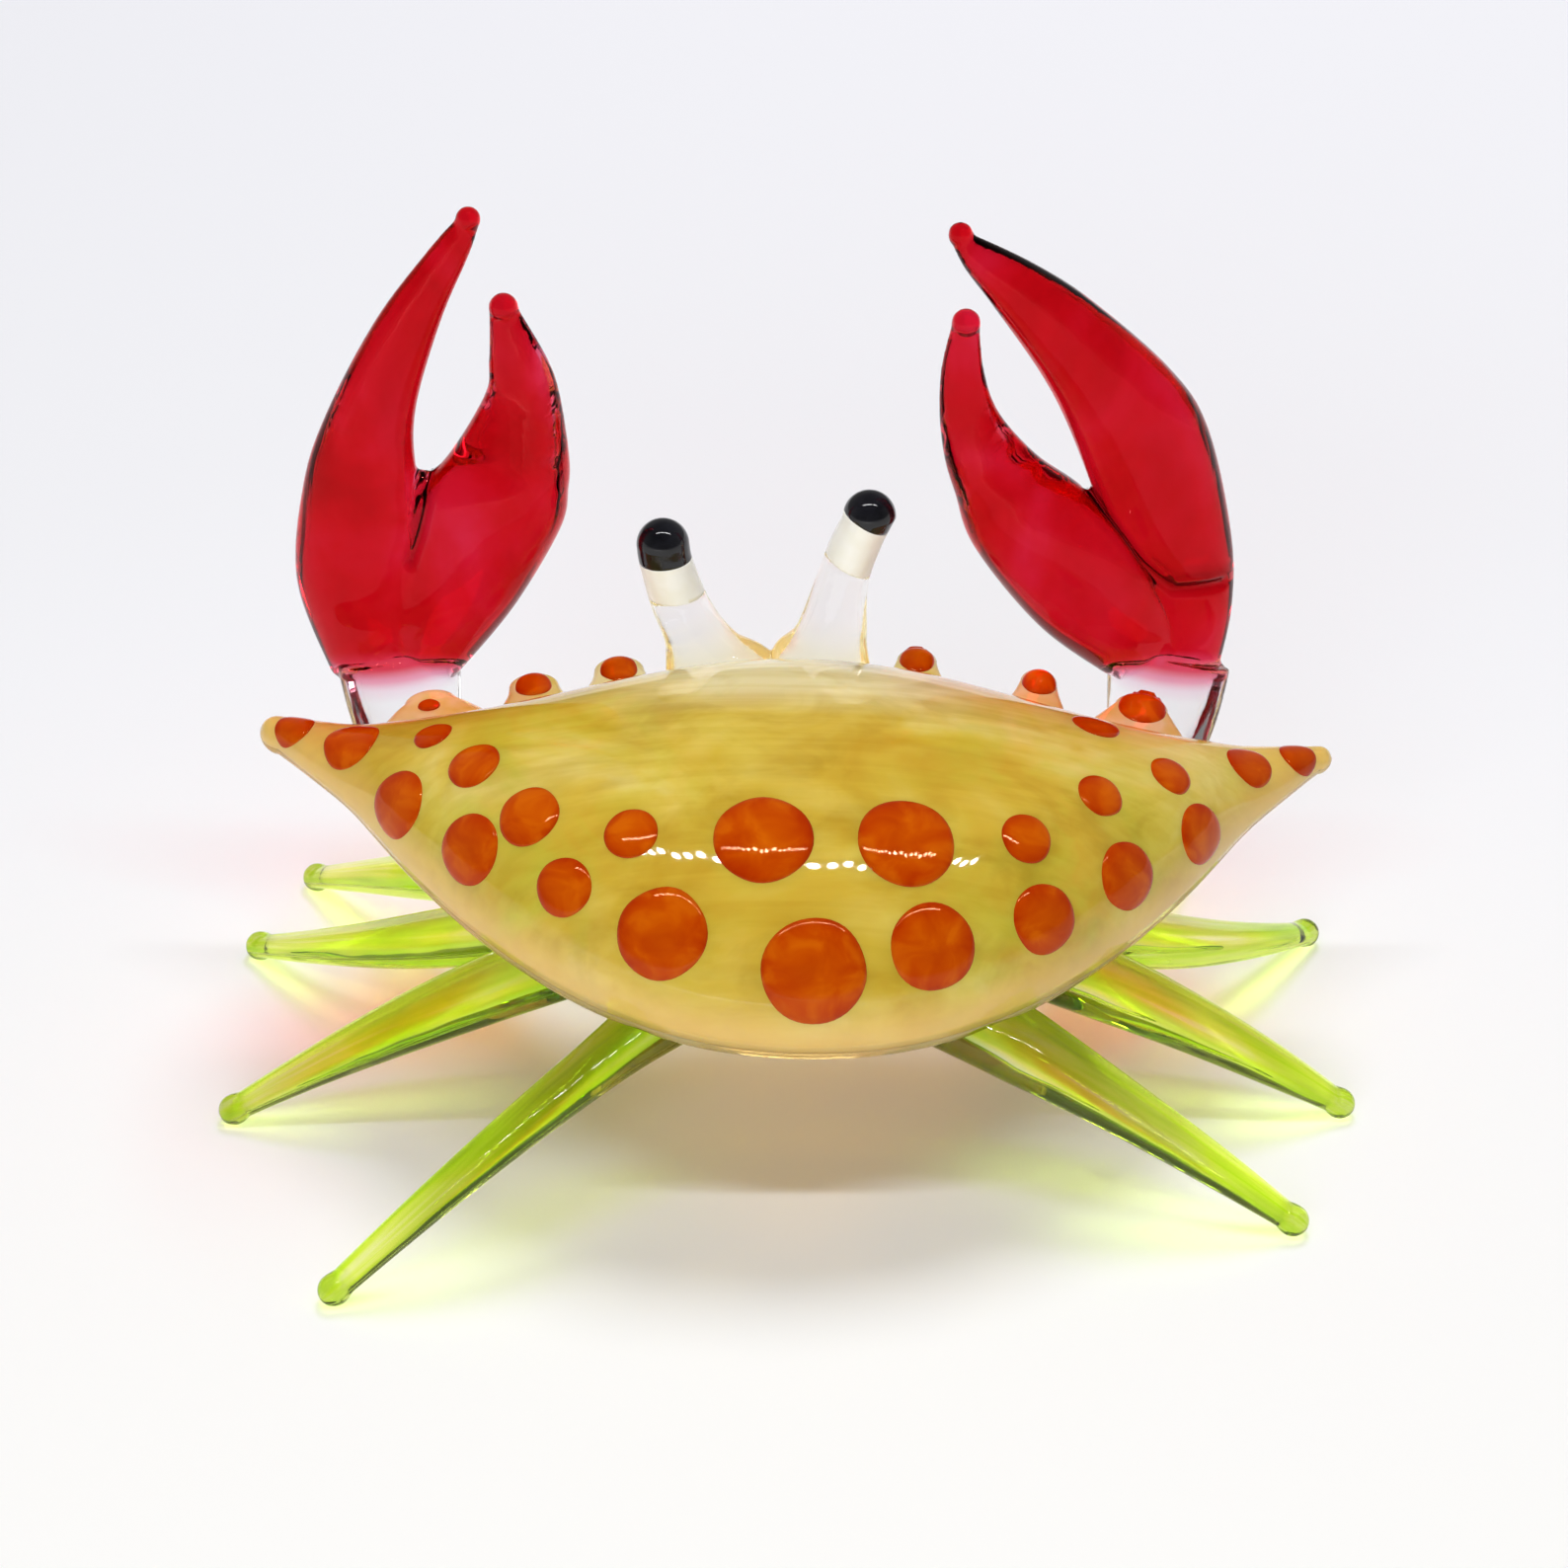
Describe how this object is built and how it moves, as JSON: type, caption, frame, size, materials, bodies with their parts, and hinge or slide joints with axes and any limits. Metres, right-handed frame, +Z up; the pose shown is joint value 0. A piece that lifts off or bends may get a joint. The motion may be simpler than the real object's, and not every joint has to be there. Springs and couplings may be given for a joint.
{
  "type": "crab figurine",
  "caption": "Flameworked glass crab: domed dotted shell, raised open claws, splayed legs with ball feet and stalked eyes, fused into one rigid ornament.",
  "frame": {"origin": "under the middle of the outline, on the surface that the eight feet stand on", "axes": "+Z up, +X towards the crab's own left, -Y the way the crab faces"},
  "size_m": [0.0696, 0.0464, 0.0495],
  "materials": {
    "shell_glass": "milky translucent yellow glass with a fire-polished skin",
    "underbody_glass": "pale translucent glass, fire-polished",
    "rim_glass": "peach to clear glass, fire-polished",
    "spot_glass": "orange-red glass melted in, glossy",
    "clear_glass": "clear glass with faint streaks",
    "claw_glass": "transparent ruby red glass with paler clouds",
    "leg_glass": "transparent lime green glass with clear streaks",
    "stalk_glass": "clear glass, drawn smooth",
    "eye_white_glass": "opaque ivory glass, glossy",
    "eye_black_glass": "opaque black glass, glossy"
  },
  "bodies": {
    "root": {"carapace": "shell_glass", "claw_arm_left": "clear_glass", "claw_arm_right": "clear_glass", "claw_finger_left": "claw_glass", "claw_finger_right": "claw_glass", "claw_palm_left": "claw_glass", "claw_palm_right": "claw_glass", "eye_pupil_left": "eye_black_glass", "eye_pupil_right": "eye_black_glass", "eye_stalks": "stalk_glass", "eye_white_left": "eye_white_glass", "eye_white_right": "eye_white_glass", "leg_left_1": "leg_glass", "leg_left_2": "leg_glass", "leg_left_3": "leg_glass", "leg_left_4": "leg_glass", "leg_right_1": "leg_glass", "leg_right_2": "leg_glass", "leg_right_3": "leg_glass", "leg_right_4": "leg_glass", "rim_tooth_left_1": "rim_glass", "rim_tooth_left_2": "rim_glass", "rim_tooth_left_3": "rim_glass", "rim_tooth_right_1": "rim_glass", "rim_tooth_right_2": "rim_glass", "rim_tooth_right_3": "rim_glass", "shell_spots": "spot_glass", "side_spike_left": "rim_glass", "side_spike_right": "rim_glass", "tooth_spots": "spot_glass", "underbody": "underbody_glass"}
  },
  "joints": []
}
